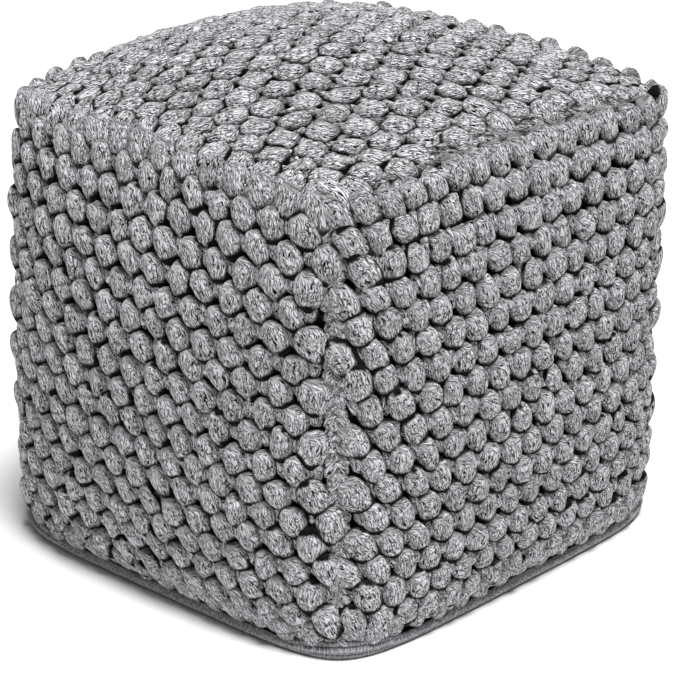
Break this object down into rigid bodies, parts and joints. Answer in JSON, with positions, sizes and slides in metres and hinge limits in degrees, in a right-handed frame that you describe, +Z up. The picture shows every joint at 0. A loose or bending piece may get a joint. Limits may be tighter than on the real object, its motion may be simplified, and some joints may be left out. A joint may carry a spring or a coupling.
{
  "type": "knitted pouf",
  "caption": "Cube-shaped floor pouf of hand-knotted cotton bobbles, with a crowned top, sewn corner seams and a plain woven base.",
  "frame": {"origin": "on the floor, under the middle of the base", "axes": "+Z up through the crown; +X and -Y square to the two side panels seen in the picture"},
  "size_m": [0.4356, 0.4356, 0.4129],
  "materials": {
    "cotton_yarn": "soft spun cotton yarn, hand-knotted, matt grey",
    "woven_cotton": "plain woven cotton canvas, matt grey"
  },
  "bodies": {
    "root": {"pouf_body": "cotton_yarn", "base_panel": "woven_cotton"}
  },
  "joints": []
}
